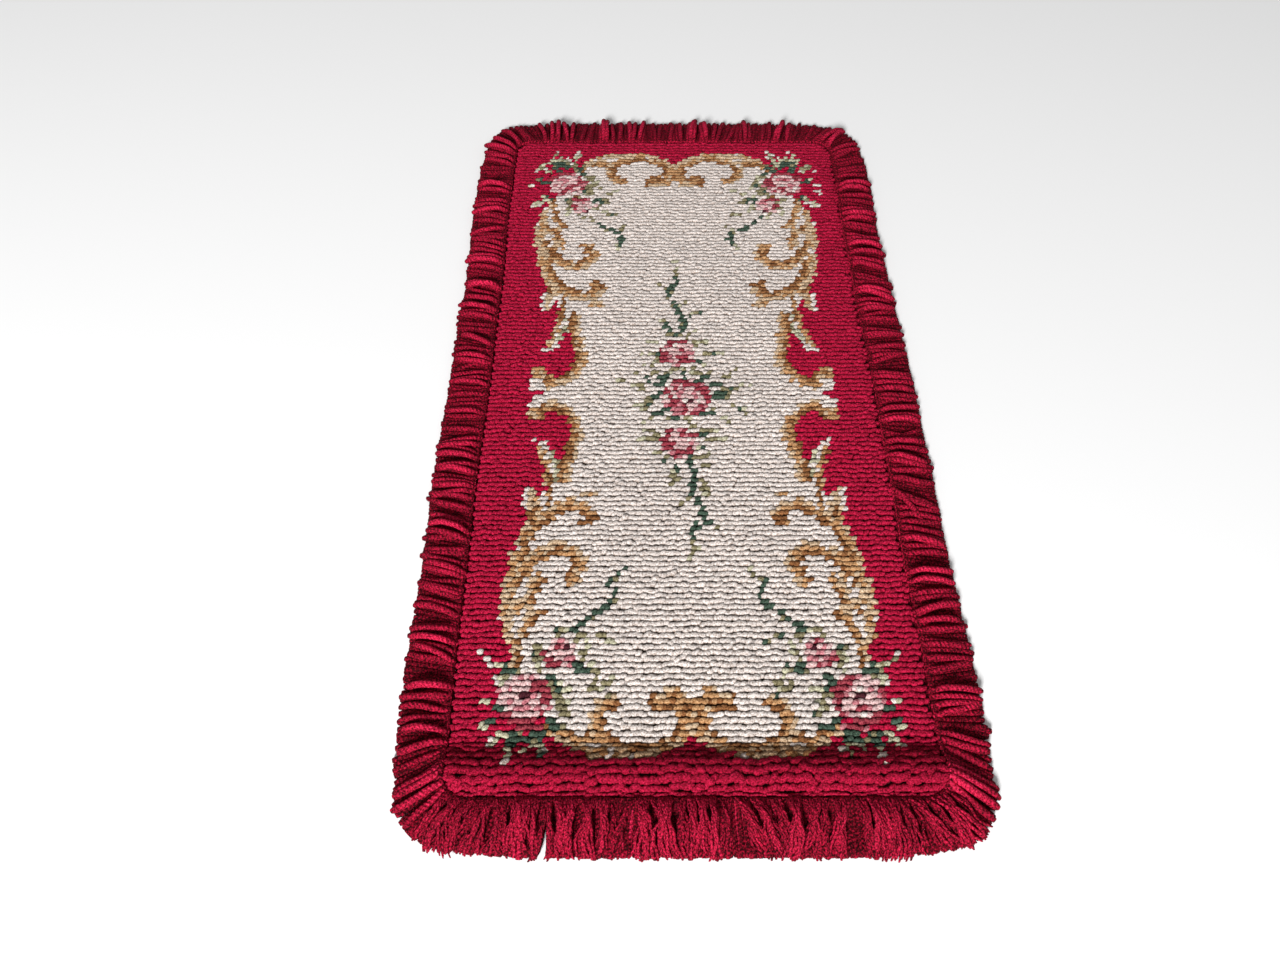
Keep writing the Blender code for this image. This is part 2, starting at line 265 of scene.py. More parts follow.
# Centre spray: three roses in a line with leaves all round, and a stem towards each end
SPRAY_LEAVES = (
    (BOTTLE, OLIVE, 10, (-20, 18), (-34, 30)), (BOTTLE, BOTTLE, 9, (-24, 8), (-34, 12)),
    (BOTTLE, OLIVE, 10, (3, 22), (4, 34)), (BOTTLE, OLIVE, 10, (24, 18), (36, 30)),
    (BOTTLE, BOTTLE, 9, (36, 8), (46, 13)), (BOTTLE, OLIVE, 13, (-28, -8), (-40, -12)),
    (BOTTLE, OLIVE, 13, (42, -8), (56, -8)), (BOTTLE, BOTTLE, 8, (-20, -26), (-24, -32)),
    (BOTTLE, SAGE, 8, (-28, -36), (-40, -42)), (BOTTLE, BOTTLE, 10, (22, -36), (30, -40)),
    (BOTTLE, SAGE, 8, (38, -34), (46, -38)), (BOTTLE, OLIVE, 8, (-10, -42), (-20, -46)),
    (OLIVE, OLIVE, 7, (2, -46), (18, -48)), (BOTTLE, OLIVE, 9, (16, 54), (30, 46)),
    (BOTTLE, OLIVE, 9, (16, -72), (28, -66)), (BOTTLE, OLIVE, 7, (-10, -118), (-12, -132)),
    (BOTTLE, OLIVE, 7, (6, -106), (4, -116)), (BOTTLE, OLIVE, 5.5, (-40, 18), (-62, 34)),
    (OLIVE, OLIVE, 5.5, (50, 20), (68, 36)), (OLIVE, OLIVE, 5.5, (-40, -40), (-48, -50)),
    (OLIVE, OLIVE, 5.5, (62, -22), (80, -38)), (OLIVE, OLIVE, 8, (-8, 96), (-14, 106)),
    (OLIVE, OLIVE, 7, (10, 94), (20, 104)), (OLIVE, SAGE, 8, (20, 82), (36, 88)),
    (OLIVE, SAGE, 9, (-30, 62), (-52, 64)), (OLIVE, SAGE, 8, (-28, 82), (-44, 90)),
    (OLIVE, SAGE, 8, (-28, 50), (-44, 44)), (OLIVE, SAGE, 8, (30, 62), (52, 68)),
    (OLIVE, OLIVE, 8, (-16, 32), (-6, 38)), (OLIVE, OLIVE, 8, (12, 34), (24, 32)),
    (OLIVE, SAGE, 7, (-46, 4), (-78, 16)), (OLIVE, SAGE, 7, (54, 2), (84, 10)),
    (OLIVE, OLIVE, 7, (8, -50), (12, -60)), (OLIVE, SAGE, 8, (-32, -70), (-46, -62)),
    (OLIVE, SAGE, 8, (-32, -80), (-54, -80)), (OLIVE, SAGE, 8, (-28, -96), (-46, -102)),
    (OLIVE, SAGE, 8, (26, -64), (40, -62)), (OLIVE, SAGE, 8, (30, -78), (52, -80)),
    (OLIVE, SAGE, 8, (20, -92), (36, -98)), (OLIVE, SAGE, 7, (-20, -108), (-34, -116)),
    (OLIVE, SAGE, 7, (14, -106), (34, -108)), (OLIVE, OLIVE, 6, (24, -116), (30, -122)),
    (OLIVE, OLIVE, 6, (-8, -134), (-14, -144)), (OLIVE, SAGE, 6, (-46, -18), (-60, -26)),
    (OLIVE, SAGE, 6, (-44, -24), (-56, -36)), (OLIVE, OLIVE, 5.5, (50, -44), (58, -52)),
    (OLIVE, SAGE, 7, (2, 150), (10, 164)), (OLIVE, OLIVE, 7, (12, 134), (30, 142)),
    (BOTTLE, OLIVE, 8, (-16, 108), (-22, 126)), (OLIVE, OLIVE, 6, (-14, 186), (-30, 198)),
    (OLIVE, SAGE, 7, (-2, 206), (-6, 246)), (BOTTLE, OLIVE, 5.5, (22, -198), (38, -208)),
    (OLIVE, SAGE, 6, (4, -166), (-8, -178)), (OLIVE, SAGE, 6, (20, -142), (30, -150)),
    (OLIVE, OLIVE, 6, (22, -154), (30, -162)), (OLIVE, SAGE, 6.5, (8, -226), (4, -258)),
    (OLIVE, SAGE, 6, (10, -232), (16, -238)),
)
STEM_UP = [(0, 100), (5, 112), (6, 125), (2, 138), (-4, 150), (-11, 163), (-15, 174), (-10, 185),
           (-4, 198), (-1, 206)]
STEM_DOWN = [(4, -108), (10, -120), (14, -134), (9, -150), (10, -162), (18, -176), (22, -190),
             (15, -201), (9, -212), (8, -226)]
for leaf_row in SPRAY_LEAVES:
    leaf(chart_x, *leaf_row)
stroke(chart_x, chart_y, STEM_UP, 7.5, BOTTLE)
stroke(chart_x, chart_y, STEM_DOWN, 7.5, BOTTLE)

# Roses: a pale disc with deep folds and rims, blushes of mid pink, and in most a dark eye.
# Folds and blushes are lines of points with a width. A paired rose is worked in both corners.
EYE_RADIUS = 3.9
ROSES = (
    dict(paired=True, middle=(164, 413), radius=27, eye=None,
         folds=(([(190, 424), (176, 438), (152, 438), (141, 424), (139, 410)], 8),
                ([(172, 392), (165, 404), (151, 412), (144, 424)], 8)),
         blushes=(([(150, 400), (140, 404)], 7), ([(176, 404), (182, 416)], 6),
                  ([(160, 428), (170, 424)], 6))),
    dict(paired=True, middle=(136, 363), radius=17, eye=(129, 354),
         folds=(([(150, 376), (134, 380)], 8), ([(150, 366), (147, 358)], 7)),
         blushes=(([(134, 370), (128, 374)], 6), ([(138, 352), (142, 348)], 6))),
    dict(paired=True, middle=(172, -414), radius=28, eye=(172, -413),
         folds=(([(163, -400), (150, -405), (152, -416)], 12),
                ([(190, -434), (174, -443), (152, -444)], 8), ([(150, -428), (155, -436)], 7)),
         blushes=(([(178, -388), (164, -392)], 6), ([(196, -402), (197, -418)], 7),
                  ([(184, -424), (168, -428)], 6), ([(186, -402), (182, -410)], 5))),
    dict(paired=True, middle=(137, -366), radius=17, eye=(131, -359),
         folds=(([(153, -364), (148, -375)], 9), ([(146, -381), (137, -380)], 8)),
         blushes=(([(132, -374), (126, -370)], 7), ([(144, -356), (138, -352)], 6))),
    dict(paired=False, middle=(5, -11), radius=31, eye=(8, -16),
         folds=(([(-6, 16), (14, 12), (27, 3), (33, -10), (29, -24), (16, -36)], 9),
                ([(-14, -14), (-8, -23), (2, -29)], 11), ([(-23, -4), (-20, 6)], 7)),
         blushes=(([(-10, 10), (-6, -2)], 8), ([(2, -38), (12, -34)], 8),
                  ([(14, -2), (20, -12)], 7), ([(-18, -26), (-10, -33)], 7))),
    dict(paired=False, middle=(-5, 67), radius=23, eye=None,
         folds=(([(-18, 80), (-6, 86), (6, 84)], 8), ([(-25, 70), (-21, 52)], 9),
                ([(0, 55), (10, 52)], 11)),
         blushes=(([(6, 72), (12, 64)], 8), ([(-10, 50), (-14, 58)], 7))),
    dict(paired=False, middle=(-6, -85), radius=23, eye=None,
         folds=(([(-16, -66), (-25, -80), (-19, -93), (-6, -103), (6, -98)], 9),
                ([(2, -70), (11, -72)], 12)),
         blushes=(([(10, -88), (4, -92)], 8), ([(-10, -76), (-12, -84)], 6))),
)


def inside_ring(u, middle, radius):
    return np.hypot(u - middle[0], chart_y - middle[1]) < radius


for rose in ROSES:
    u = side_x if rose["paired"] else chart_x
    chart[inside_ring(u, rose["middle"], rose["radius"])] = PALE_PINK
    for points, width in rose["blushes"]:
        stroke(u, chart_y, points, width, PINK)
    for points, width in rose["folds"]:
        stroke(u, chart_y, points, width, ROSE)
    if rose["eye"]:
        chart[inside_ring(u, rose["eye"], EYE_RADIUS)] = WINE

# Two flecks of pale lint lie on the pile, one at the far right and one at the near right.
stroke(chart_x, chart_y, [(215, 401), (221, 394)], 7, CREAM)
stroke(chart_x, chart_y, [(183, -482), (188, -482)], 7, CREAM)

# Stitches of the neighbouring shade are mixed in by hand, so that the colours run together.
MIXED_IN = {
    BOTTLE: ((OLIVE, 0.09),), OLIVE: ((SAGE, 0.18), (BOTTLE, 0.10)),
    SAGE: ((CREAM, 0.16), (OLIVE, 0.18)), GOLD: ((TAN, 0.12), (BROWN, 0.12)),
    BROWN: ((GOLD, 0.18),), TAN: ((CREAM, 0.05), (GOLD, 0.24)),
    PALE_PINK: ((PINK, 0.12), (CREAM, 0.08)), PINK: ((PALE_PINK, 0.15), (ROSE, 0.15)),
    ROSE: ((PINK, 0.12),),
}
shuffle = np.random.default_rng(17)
planned = chart.copy()
lot = shuffle.random(chart.shape)
for yarn, others in MIXED_IN.items():
    start = 0.0
    for other, share in others:
        chart[(planned == yarn) & (lot >= start) & (lot < start + share)] = other
        start += share

# Yarns: soft wool in twelve colours, dyed in the skein. Each is painted with a pale highlight on the
# fibres at the top of a loop, and with deep, dark painted shade towards its root.
FIBRE_SCALE = 1500
CLUMP_SCALE = 560
WORN_SCALE = 9
YARN_RELIEF = 0.0022


class Shade:
    """One value in a finish. Arithmetic on it adds Math nodes."""

    def __init__(self, finish, socket):
        self.finish, self.socket = finish, socket

    def maths(self, operation, *values):
        return self.finish.node("ShaderNodeMath", {"operation": operation}, dict(enumerate(values)))

    def __add__(self, other):
        return self.maths("ADD", self, other)

    def __radd__(self, other):
        return self.maths("ADD", other, self)

    def __sub__(self, other):
        return self.maths("SUBTRACT", self, other)

    def __rsub__(self, other):
        return self.maths("SUBTRACT", other, self)

    def __mul__(self, other):
        return self.maths("MULTIPLY", self, other)

    def __rmul__(self, other):
        return self.maths("MULTIPLY", other, self)

    def __pow__(self, other):
        return self.maths("POWER", self, other)

    def sine(self):
        return self.maths("SINE", self)

    def cosine(self):
        return self.maths("COSINE", self)

    def clamped(self):
        return self.finish.node("ShaderNodeClamp", {}, {"Value": self})


class Finish:
    """A material whose nodes are added one by one."""

    def __init__(self, name):
        self.material = bpy.data.materials.new(name)
        self.material.use_nodes = True
        self.tree = self.material.node_tree
        self.shader = self.tree.nodes["Principled BSDF"]

    def fill(self, node, values):
        for socket, value in values.items():
            if isinstance(value, Shade):
                self.tree.links.new(value.socket, node.inputs[socket])
            else:
                node.inputs[socket].default_value = value

    def node(self, kind, settings, values, output=0):
        node = self.tree.nodes.new(kind)
        for setting, value in settings.items():
            setattr(node, setting, value)
        self.fill(node, values)
        return Shade(self, node.outputs[output])

    def trait(self, name, output="Fac"):
        return self.node("ShaderNodeAttribute", {"attribute_name": name}, {}, output)

    def place(self):
        return self.node("ShaderNodeTexCoord", {}, {}, "Object")

    def noise(self, scale, detail=2.0):
        values = {"Vector": self.place(), "Scale": scale, "Detail": detail}
        return self.node("ShaderNodeTexNoise", {}, values)

    def blend(self, share, first, second):
        """Colour between two, by a share from 0 to 1."""
        values = {0: share}
        for socket, colour in ((6, first), (7, second)):
            values[socket] = colour if isinstance(colour, Shade) else (*colour, 1)
        return self.node("ShaderNodeMix", {"data_type": "RGBA"}, values, 2)

    def scaled(self, colour, amount):
        return self.node("ShaderNodeVectorMath", {"operation": "SCALE"}, {0: colour, "Scale": amount})

    def raised(self, height, depth, strength=1.0):
        """Normal of a relief whose height runs from 0 to 1 over a depth in metres."""
        values = {"Height": height, "Distance": depth, "Strength": strength}
        return self.node("ShaderNodeBump", {}, values)


# Linear colours: the yarn, its painted shade at the root, and its painted highlight on the fibres
YARNS = {
    CRIMSON: ("crimson", (0.325, 0.0003, 0.019), (0.052, 0.000, 0.002), (0.64, 0.018, 0.080)),
    CREAM: ("cream", (0.64, 0.555, 0.51), (0.27, 0.195, 0.15), (0.93, 0.86, 0.82)),
    TAN: ("tan", (0.52, 0.345, 0.205), (0.17, 0.085, 0.038), (0.78, 0.62, 0.44)),
    GOLD: ("gold", (0.42, 0.195, 0.072), (0.12, 0.040, 0.012), (0.68, 0.42, 0.22)),
    BROWN: ("brown", (0.20, 0.072, 0.022), (0.050, 0.015, 0.005), (0.37, 0.17, 0.07)),
    BOTTLE: ("bottle_green", (0.036, 0.066, 0.044), (0.006, 0.010, 0.006), (0.10, 0.15, 0.11)),
    OLIVE: ("olive", (0.20, 0.165, 0.085), (0.05, 0.038, 0.014), (0.38, 0.34, 0.21)),
    SAGE: ("sage", (0.44, 0.41, 0.27), (0.13, 0.11, 0.06), (0.68, 0.66, 0.50)),
    PALE_PINK: ("pale_pink", (0.66, 0.40, 0.39), (0.22, 0.09, 0.09), (0.88, 0.68, 0.66)),
    PINK: ("pink", (0.48, 0.13, 0.16), (0.12, 0.02, 0.03), (0.70, 0.32, 0.34)),
    ROSE: ("deep_rose", (0.26, 0.020, 0.040), (0.06, 0.003, 0.008), (0.46, 0.09, 0.11)),
    WINE: ("wine", (0.045, 0.006, 0.012), (0.008, 0.001, 0.002), (0.12, 0.03, 0.04)),
}


def wool(name, yarn, deep, painted_highlight, ply_length=None):
    """Wool finish. Each point has a tone, and a painted light from 0 at the root to 1 at the top,
    which blends in painted shade towards the root and a painted highlight at the top. Where a
    ply length is given, twisted plies are drawn from the run along the cord and round it, with
    painted shade in the grooves between them."""
    finish = Finish(name)
    tone, rise = finish.trait("tone"), finish.trait("rise")
    fibre = finish.noise(FIBRE_SCALE, 3.0)
    clump = finish.noise(CLUMP_SCALE, 3.0)
    worn = finish.noise(WORN_SCALE, 3.0)
    relief = fibre * 0.35 + clump * 0.65
    if ply_length:
        run = finish.trait("run") * (2 * math.pi / ply_length)
        ply = finish.trait("ply_cos") * run.cosine() + finish.trait("ply_sin") * run.sine()
        # Painted shade in the grooves between the plies
        rise = rise * (ply * 0.20 + 0.80)
        relief = relief * 0.50 + ply * 0.22 + 0.22
    # Painted shade: towards the root the yarn blends to its deep colour
    colour = finish.blend((rise * 0.80 + clump * 2.9 - 1.46).clamped(), deep, yarn)
    # Painted highlight: pale lit fibres near the top of the loop
    colour = finish.blend((rise ** 2 * (fibre * 3.6 + clump * 3.0 - 2.95)).clamped(), colour, painted_highlight)
    colour = finish.scaled(colour, tone * 0.30 + worn * 0.24 + 0.72)
    finish.fill(finish.shader, {"Base Color": colour, "Roughness": fibre * 0.15 + 0.78,
                                "Normal": finish.raised(relief, YARN_RELIEF, 0.9),
                                "Sheen Weight": 0.03, "Sheen Roughness": 0.4,
                                "Sheen Tint": (*painted_highlight, 1), "Specular IOR Level": 0.10})
    return finish


yarn_finish = {yarn: wool(f"{name} wool", *colours) for yarn, (name, *colours) in YARNS.items()}

# Ground cloth: a firm flax and cotton canvas about 3 mm thick that holds the loops, flat on the
# floor but for a low roll across its near end, higher at the right. On top it is painted dark, as
# painted shade between the rows, and underneath the yarn colours come faintly through.
GROUND_THICK = 0.0030
GROUND_ROWS = 152
GROUND_COLUMNS = 66
WARP_PITCH = 0.0024
WEFT_PITCH = 0.0034
WAVE_REPEAT = 2 * math.pi / 20
WEAVE_RELIEF = 0.0008
ROLL_HEIGHT_LEFT = 0.0102
ROLL_HEIGHT_RIGHT = 0.0145
ROLL_FOOT = 0.056
ROLL_CREST = 0.021
ROLL_END_SHARE = 0.50
SIDE_WAVES = {
    -1: ((0.0011, 0.61, 0.4), (0.0006, 0.23, 2.0)),
    1: ((0.0012, 0.52, 1.9), (0.0006, 0.19, 0.3)),
}


def side_wave(side, y):
    """Drift of one long edge from a straight line."""
    waves = SIDE_WAVES[side]
    return sum(size * np.sin(2 * np.pi * y / length + phase) for size, length, phase in waves)


def side_bow(x, y):
    """Sideways shift of a point, blended from one long edge to the other."""
    share = (x / (BODY_WIDTH / 2) + 1) / 2
    return side_wave(-1, y) * (1 - share) + side_wave(1, y) * share


def roll_lift(x, y):
    """Height of the rug's underside above the floor."""
    from_end = y + BODY_LENGTH / 2
    to_foot = np.clip((from_end - ROLL_CREST) / (ROLL_FOOT - ROLL_CREST), 0, 1)
    to_end = np.clip((ROLL_CREST - np.maximum(from_end, 0)) / ROLL_CREST, 0, 1)
    rising, falling = (0.5 + 0.5 * np.cos(np.pi * share) for share in (to_foot, to_end))
    falling = ROLL_END_SHARE + (1 - ROLL_END_SHARE) * falling
    profile = np.where(from_end > ROLL_CREST, rising, falling)
    share = np.clip((x / (BODY_WIDTH / 2) + 1) / 2, 0, 1)
    return profile * (ROLL_HEIGHT_LEFT * (1 - share) + ROLL_HEIGHT_RIGHT * share)


def half_width(y):
    """Half the body's width at a distance along it, drawn in round the corners."""
    into_corner = np.maximum(np.abs(y) - (BODY_LENGTH / 2 - CORNER_RADIUS), 0)
    drawn_in = np.sqrt(np.maximum(CORNER_RADIUS ** 2 - into_corner ** 2, 0))
    return BODY_WIDTH / 2 - CORNER_RADIUS + drawn_in


def on_roll(x, y, height):
    """Points at a height above the rug's underside, square to its curve."""
    step = 0.001
    slope = (roll_lift(x, y + step) - roll_lift(x, y - step)) / (2 * step)
    steep = np.sqrt(1 + slope ** 2)
    back, up = height * slope / steep, height / steep
    return np.stack([x + side_bow(x, y), y - back, roll_lift(x, y) + up], -1)


def add_piece(name, points, faces, finish, traits):
    """Object from one mesh with smooth faces and a value of each trait at every point."""
    mesh = bpy.data.meshes.new(name)
    mesh.from_pydata(points.reshape(-1, 3), [], faces.reshape(-1, faces.shape[-1]))
    mesh.polygons.foreach_set("use_smooth", np.ones(len(mesh.polygons), bool))
    for trait, values in traits.items():
        layer = mesh.attributes.new(trait, "FLOAT", "POINT")
        layer.data.foreach_set("value", np.ascontiguousarray(values, np.float32).ravel())
    mesh.materials.append(finish.material)
    piece = bpy.data.objects.new(name, mesh)
    scene.collection.objects.link(piece)
    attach(piece, "root")
    return piece


def on_chart(place, size, pitch, count):
    """Row or stitch of the chart that lies nearest a place."""
    nearest = np.round((place * 1000 + size * 500) / (pitch * 1000) - 0.5)
    return np.clip(nearest, 0, count - 1).astype(int)


ground_y = np.linspace(-BODY_LENGTH / 2, BODY_LENGTH / 2, GROUND_ROWS + 1)
ground_x = np.linspace(-1, 1, GROUND_COLUMNS + 1) * half_width(ground_y)[:, None]
ground_top = on_roll(ground_x, ground_y[:, None], GROUND_THICK)
ground_low = on_roll(ground_x, ground_y[:, None], 0.0)
ground_count = (GROUND_ROWS + 1) * (GROUND_COLUMNS + 1)
cell = np.arange(ground_count).reshape(GROUND_ROWS + 1, GROUND_COLUMNS + 1)
top_faces = np.stack([cell[:-1, :-1], cell[:-1, 1:], cell[1:, 1:], cell[1:, :-1]], -1)
top_faces = top_faces.reshape(-1, 4)
low_faces = top_faces[:, ::-1] + ground_count
rim = np.concatenate([cell[0, :], cell[1:, -1], cell[-1, -2::-1], cell[-2:0:-1, 0]])
next_rim = np.roll(rim, -1)
rim_faces = np.stack([rim + ground_count, next_rim + ground_count, next_rim, rim], -1)
ground_faces = np.concatenate([top_faces, low_faces, rim_faces])
ground_points = np.concatenate([ground_top.reshape(-1, 3), ground_low.reshape(-1, 3)])
near_row = on_chart(ground_y, BODY_LENGTH, ROW_PITCH, ROWS)
near_stitch = on_chart(ground_x, BODY_WIDTH, STITCH_PITCH, STITCHES)
ground_yarn = chart[near_row[:, None], near_stitch]

ground = Finish("ground canvas")
across, along = (
    ground.node("ShaderNodeTexWave", {"bands_direction": direction},
                {"Vector": ground.place(), "Scale": WAVE_REPEAT / pitch, "Distortion": 0.6})
    for direction, pitch in (("X", WARP_PITCH), ("Y", WEFT_PITCH)))
weave = across * 0.5 + along * 0.5
flax = ground.blend(ground.noise(60), (0.46, 0.36, 0.24), (0.60, 0.50, 0.36))
dyed = ground.trait("yarn_colour", "Color")
above = ground.trait("above")
canvas = ground.blend(weave * 0.6 + 0.15, flax, dyed)
# Painted shade: the top of the canvas is a tenth of the yarn colour above it
shade = ground.scaled(dyed, 0.10)
ground.fill(ground.shader, {"Base Color": ground.blend(above, canvas, shade), "Roughness": 0.92,
                            "Normal": ground.raised(weave, WEAVE_RELIEF)})
ground_cloth = add_piece("ground_cloth", ground_points, ground_faces, ground,
                         {"above": np.repeat([1.0, 0.0], ground_count)})
yarn_colours = np.array([row[1] for row in YARNS.values()])[ground_yarn.ravel()]
rgba = np.concatenate([np.tile(yarn_colours, (2, 1)), np.ones((2 * ground_count, 1))], 1)
layer = ground_cloth.data.attributes.new("yarn_colour", "FLOAT_COLOR", "POINT")
layer.data.foreach_set("color", rgba.astype(np.float32).ravel())
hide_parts("rug_body")

# Loops: each stitch is one soft bead of wool yarn, hooked through the ground in wavering rows with
# a dark gap between them. Rows part more widely where they ride over the roll, and the loops are
# painted darker, as painted shade, in the hollow behind it and over the roll itself.
LOOP_HALF_LENGTH = 0.0046
LOOP_HALF_DEPTH = 0.00350
LOOP_HEIGHT = 0.0066
LOOP_SIDES = 8
# Up the loop: share of its height, spread along the row, spread across it, and painted light
LOOP_LEVELS = ((0.0, 0.86, 0.84, 0.0), (0.68, 1.00, 1.04, 0.52), (0.98, 0.80, 0.70, 1.0))
ROW_WAVES = ((0.0165, 0.46), (0.031, 0.34), (0.053, 0.26), (0.120, 0.30))
ROW_DRIFT = 0.9
ROW_WAVER = 0.00105
ROLL_WAVER = 0.0006
ROLL_ZONE = 0.055
ROLL_ZONE_FADE = 0.02
BRICK_SHIFT = 0.45
STRAY_X = 0.00035
STRAY_Y = 0.00034
LOOP_LEAN = 0.0005
ROOT_DEPTH = 0.0004
EDGE_TRIM = 0.22
EDGE_ROUND = 0.007
HOLLOW_AT = 0.043
HOLLOW_WIDTH = 0.015
HOLLOW_SHADE = 0.42
CREST_SHADE = 0.17
shuffle = np.random.default_rng(41)

row_wave = np.zeros(chart.shape)
for wavelength, size in ROW_WAVES:
    drift = np.cumsum(shuffle.normal(0, ROW_DRIFT, ROWS))[:, None]
    row_wave += size * np.sin(2 * np.pi * chart_x / 1000 / wavelength + drift)
shifted = (np.arange(ROWS) % 2)[:, None] * STITCH_PITCH * BRICK_SHIFT
loop_x = chart_x / 1000 + shuffle.normal(0, STRAY_X, chart.shape) + shifted
crest = np.clip((-BODY_LENGTH / 2 + ROLL_ZONE - chart_y / 1000) / ROLL_ZONE_FADE, 0, 1)
waver = (ROW_WAVER + ROLL_WAVER * crest) * row_wave
loop_y = chart_y / 1000 + waver + shuffle.normal(0, STRAY_Y, chart.shape)
inside = np.abs(loop_x) < half_width(loop_y) - 0.0004
loop_x, loop_y, loop_yarn, on_crest = loop_x[inside], loop_y[inside], chart[inside], crest[inside]
loops = len(loop_x)
past_round = np.clip((np.abs(loop_x) - half_width(loop_y) + EDGE_ROUND) / EDGE_ROUND, 0, 1)
uneven = 1 + shuffle.normal(0, 0.075, loops) * (1 + 0.4 * on_crest)
tall = LOOP_HEIGHT * uneven * (1 - EDGE_TRIM * past_round)
wide = LOOP_HALF_LENGTH * (1 + shuffle.normal(0, 0.06, loops)) * (1 + 0.22 * on_crest)
deep = LOOP_HALF_DEPTH * (1 + shuffle.normal(0, 0.035, loops)) * (1 - 0.04 * on_crest)
skew = shuffle.normal(0.32, 0.30, loops)
loop_tone = np.clip(shuffle.normal(0.5, 0.22, loops), 0, 1)
angle = np.arange(LOOP_SIDES) * 2 * np.pi / LOOP_SIDES
round_x, round_y = np.cos(angle), np.sin(angle)
level, spread_x, spread_y, rise = (np.array(column)[None, :, None] for column in zip(*LOOP_LEVELS))
local_x = wide[:, None, None] * spread_x * round_x
local_y = deep[:, None, None] * spread_y * round_y + skew[:, None, None] * local_x * 0.5
lean_x = shuffle.normal(0, LOOP_LEAN, loops)[:, None, None] * level
lean_y = shuffle.normal(0, LOOP_LEAN, loops)[:, None, None] * level
loop_points = on_roll(loop_x[:, None, None] + local_x + lean_x,
                      loop_y[:, None, None] + local_y + lean_y,
                      GROUND_THICK - ROOT_DEPTH + tall[:, None, None] * level)
# Painted shade: loops in the hollow behind the roll, and all over the roll, are painted darker
in_hollow = np.exp(-((loop_y + BODY_LENGTH / 2 - HOLLOW_AT) / HOLLOW_WIDTH) ** 2)[:, None, None]
shaded = 1 - HOLLOW_SHADE * in_hollow - CREST_SHADE * on_crest[:, None, None]
loop_painted_light = np.broadcast_to(rise * shaded, local_x.shape)
ring = np.arange(LOOP_SIDES)
next_ring = (ring + 1) % LOOP_SIDES
wall = np.stack([ring, next_ring, next_ring + LOOP_SIDES, ring + LOOP_SIDES], -1)
crown = np.array([(0, 1, 2, 7), (2, 3, 6, 7), (3, 4, 5, 6)]) + 2 * LOOP_SIDES
loop_faces = np.concatenate([wall, wall + LOOP_SIDES, crown])
points_each = LOOP_SIDES * len(LOOP_LEVELS)

for yarn, (name, *_) in YARNS.items():
    halves = {"": np.ones(loops, bool)}
    if yarn in (CRIMSON, CREAM):
        halves = {"_far": loop_y > 0, "_near": loop_y <= 0}
    for half, part in halves.items():
        picked = part & (loop_yarn == yarn)
        count = picked.sum()
        faces = loop_faces[None] + (np.arange(count) * points_each)[:, None, None]
        tone = np.broadcast_to(loop_tone[picked][:, None], (count, points_each))
        piece = add_piece(f"loops_{name}{half}", loop_points[picked], faces, yarn_finish[yarn],
                          {"tone": tone, "rise": loop_painted_light[picked]})

# Fringe: twisted two-ply crimson wool cords, cut to one length and sewn side by side to a narrow
# heading, which is stitched round all four sides of the body. The cords bunch into ridges with deep
# folds between them, lean this way and that, and fan out at the corners.
SEAM_GAP = 0.0003
HEADING_WIDTH = 0.0050
HEADING_HEIGHT = 0.0052
CORD_REACH = 0.0535
CORD_RINGS = 26
CORD_SIDES = 8
PLY_LENGTH = 0.0046
UNDER_THICK = 0.0040
UNDER_RINGS = 12
UNDER_SIDES = 6
FAN_LENGTH = 0.085
FAN_POWER = 1.25
PARTING_AT = -0.142
PARTING_TURN = math.radians(7)
PARTING_REACH = 0.010
PARTING_HALF = 0.012
PLEAT_LENGTH = 0.0155
BUNCH_LENGTH = 0.067
SWING_LENGTH = 0.43
RIDGE_PULL = 0.10
UNRULY_SHARE = 0.07
UNRULY_TURN = 17.0
UNRULY_LIFT = 0.0035
ROOT_LIFT = 0.0042
# Each side: direction it faces in degrees, number of cords, their half thickness, height of the
# ridges, lean and swing in degrees, roughness from 0 to 1, and seed
TRIM_COLUMNS = ("heading", "cords", "thick", "ridge", "lean", "swing", "rough", "seed")
TRIM_SIDES = {
    "near": (-90.0, 84, 0.0030, 0.0030, 0.0, 4.0, 0.6, 3),
    "right": (0.0, 192, 0.0034, 0.0140, -3.0, 10.0, 1.0, 5),
    "far": (90.0, 94, 0.0034, 0.0185, -7.0, 4.0, 1.0, 7),
    "left": (180.0, 192, 0.0034, 0.0140, -9.0, 7.0, 1.0, 9),
}
trim_finish = wool("crimson cord", (0.44, 0.001, 0.026), (0.022, 0.000, 0.001), (0.80, 0.032, 0.11),
                   PLY_LENGTH)


def trim_size(heading):
    """Distance of a side's edge from the middle, and half the length of its straight part."""
    long_side = abs(math.cos(heading)) > 0.5
    edge = (BODY_WIDTH if long_side else BODY_LENGTH) / 2
    return edge, (BODY_LENGTH if long_side else BODY_WIDTH) / 2 - CORNER_RADIUS


def half_run(heading):
    """Half the length of one side's trim, out to the middle of each corner."""
    return trim_size(heading)[1] + CORNER_RADIUS * math.pi / 4


def trim_place(heading, s, distance):
    """Point outside the body's edge, s round the side from its middle."""
    out_x, out_y = math.cos(heading), math.sin(heading)
    edge, straight = trim_size(heading)
    turn = np.sign(s) * np.maximum(np.abs(s) - straight, 0) / CORNER_RADIUS
    base = np.clip(s, -straight, straight) + (CORNER_RADIUS + distance) * np.sin(turn)
    reach = edge - CORNER_RADIUS + (CORNER_RADIUS + distance) * np.cos(turn)
    x, y = out_x * reach - out_y * base, out_y * reach + out_x * base
    return x + side_bow(x, y), y


